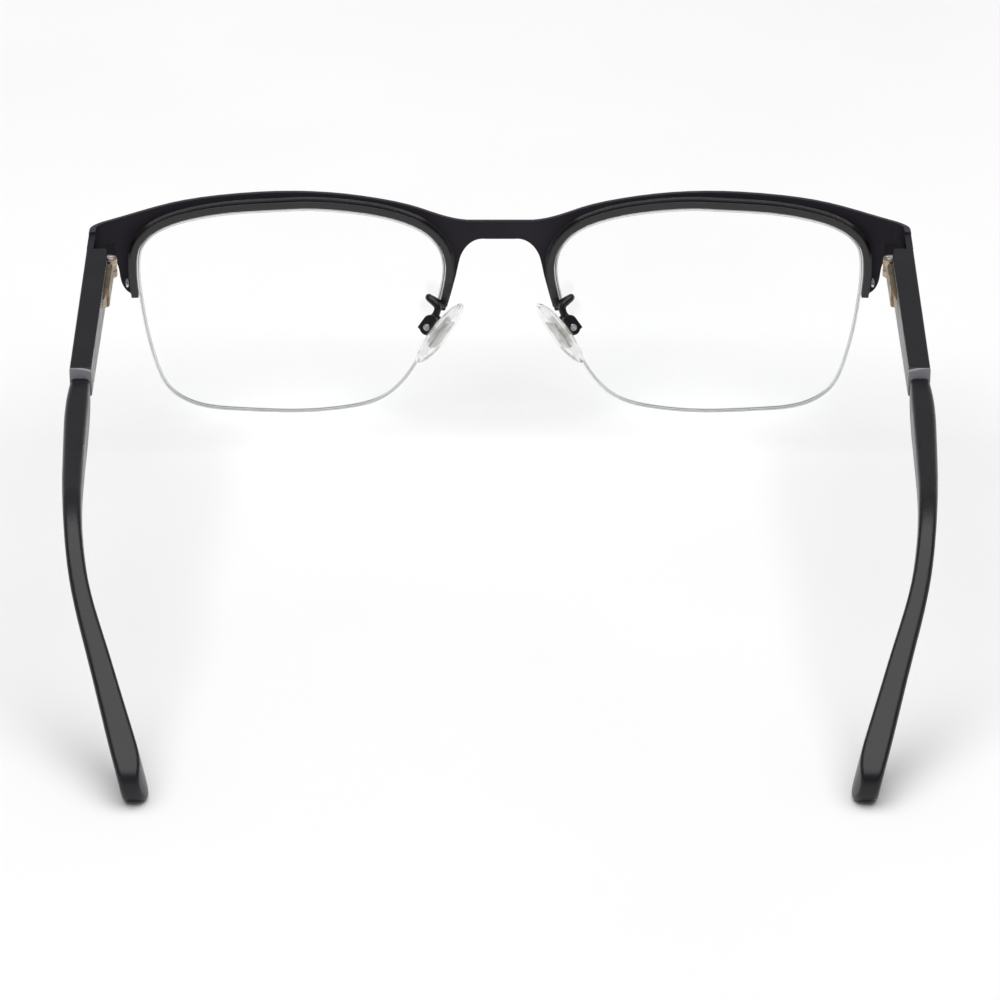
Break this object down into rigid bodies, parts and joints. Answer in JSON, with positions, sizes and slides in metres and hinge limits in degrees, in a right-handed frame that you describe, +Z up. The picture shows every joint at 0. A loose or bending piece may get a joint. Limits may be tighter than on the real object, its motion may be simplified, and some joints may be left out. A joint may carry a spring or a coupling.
{
  "type": "half rim eyeglasses",
  "caption": "Semi-rimless spectacles: flat metal brow bar with half-rims, nylon-held clear lenses, adjustable nose pads and sprung, folding flat temples with curved ear pieces.",
  "frame": {"origin": "middle of the footprint, on the floor the lens bottoms and temple tips stand on", "axes": "+Z up, -Y the way the lenses face, +Y towards the temple tips, +X the wearer's left"},
  "size_m": [0.1422, 0.1541, 0.0396],
  "materials": {
    "brow_plate": "satin near-black coating",
    "rim": "glossy black coating",
    "rim_liner": "clear nylon bead",
    "lens": "clear resin lens, polished faces, ground groove",
    "lens_cord": "clear nylon line",
    "pad_arm": "glossy black coating on wire",
    "screw": "bright slotted screw",
    "hinge": "bare champagne-coloured nickel silver",
    "inner_metal": "bare steel",
    "temple_arm": "satin near-black moulding",
    "temple_tip": "satin near-black ear piece",
    "nose_pad": "clear soft silicone",
    "pad_core": "bright stamped insert"
  },
  "bodies": {
    "front": {"brow_plate": "brow_plate", "left_rim": "rim", "left_rim_liner": "rim_liner", "left_lens": "lens", "left_lens_cord": "lens_cord", "left_pad_arm": "pad_arm", "left_pad_box": "pad_arm", "left_pad_screw": "screw", "left_hinge_leaf": "hinge", "left_hinge_screw": "screw", "right_rim": "rim", "right_rim_liner": "rim_liner", "right_lens": "lens", "right_lens_cord": "lens_cord", "right_pad_arm": "pad_arm", "right_pad_box": "pad_arm", "right_pad_screw": "screw", "right_hinge_leaf": "hinge", "right_hinge_screw": "screw"},
    "left_slider": {"left_hinge_slider": "hinge", "left_slider_nut": "inner_metal", "left_flex_spring": "inner_metal"},
    "left_temple": {"left_temple_arm": "temple_arm", "left_temple_tip": "temple_tip", "left_core_wire": "inner_metal", "left_hinge_housing": "hinge", "left_housing_bush": "inner_metal"},
    "left_pad": {"left_nose_pad": "nose_pad", "left_pad_core": "pad_core"},
    "right_slider": {"right_hinge_slider": "hinge", "right_slider_nut": "inner_metal", "right_flex_spring": "inner_metal"},
    "right_temple": {"right_temple_arm": "temple_arm", "right_temple_tip": "temple_tip", "right_core_wire": "inner_metal", "right_hinge_housing": "hinge", "right_housing_bush": "inner_metal"},
    "right_pad": {"right_nose_pad": "nose_pad", "right_pad_core": "pad_core"}
  },
  "joints": [
    {"name": "left_fold", "type": "hinge", "parent": "front", "child": "left_slider", "pos_m": [0.0671, -0.0584, 0.0325], "axis": [0, 0.0349, 0.9994], "range_deg": [0, 81]},
    {"name": "left_flex", "type": "slide", "parent": "left_slider", "child": "left_temple", "axis": [0, 0.9994, -0.0349], "range_m": [0, 0.0012], "stiffness_N_per_m": 800, "springref_m": -0.003, "deforming": ["left_flex_spring"]},
    {"name": "left_pad_rock", "type": "hinge", "parent": "front", "child": "left_pad", "pos_m": [0.0123, -0.06702, 0.01748], "axis": [0.3962, 0.862, 0.3163], "range_deg": [-12, 12]},
    {"name": "right_fold", "type": "hinge", "parent": "front", "child": "right_slider", "pos_m": [-0.0671, -0.0584, 0.0325], "axis": [0, -0.0349, -0.9994], "range_deg": [0, 88]},
    {"name": "right_flex", "type": "slide", "parent": "right_slider", "child": "right_temple", "axis": [0, 0.9994, -0.0349], "range_m": [0, 0.0012], "stiffness_N_per_m": 800, "springref_m": -0.003, "deforming": ["right_flex_spring"]},
    {"name": "right_pad_rock", "type": "hinge", "parent": "front", "child": "right_pad", "pos_m": [-0.0123, -0.06702, 0.01748], "axis": [0.3962, -0.862, -0.3163], "range_deg": [-12, 12]}
  ]
}
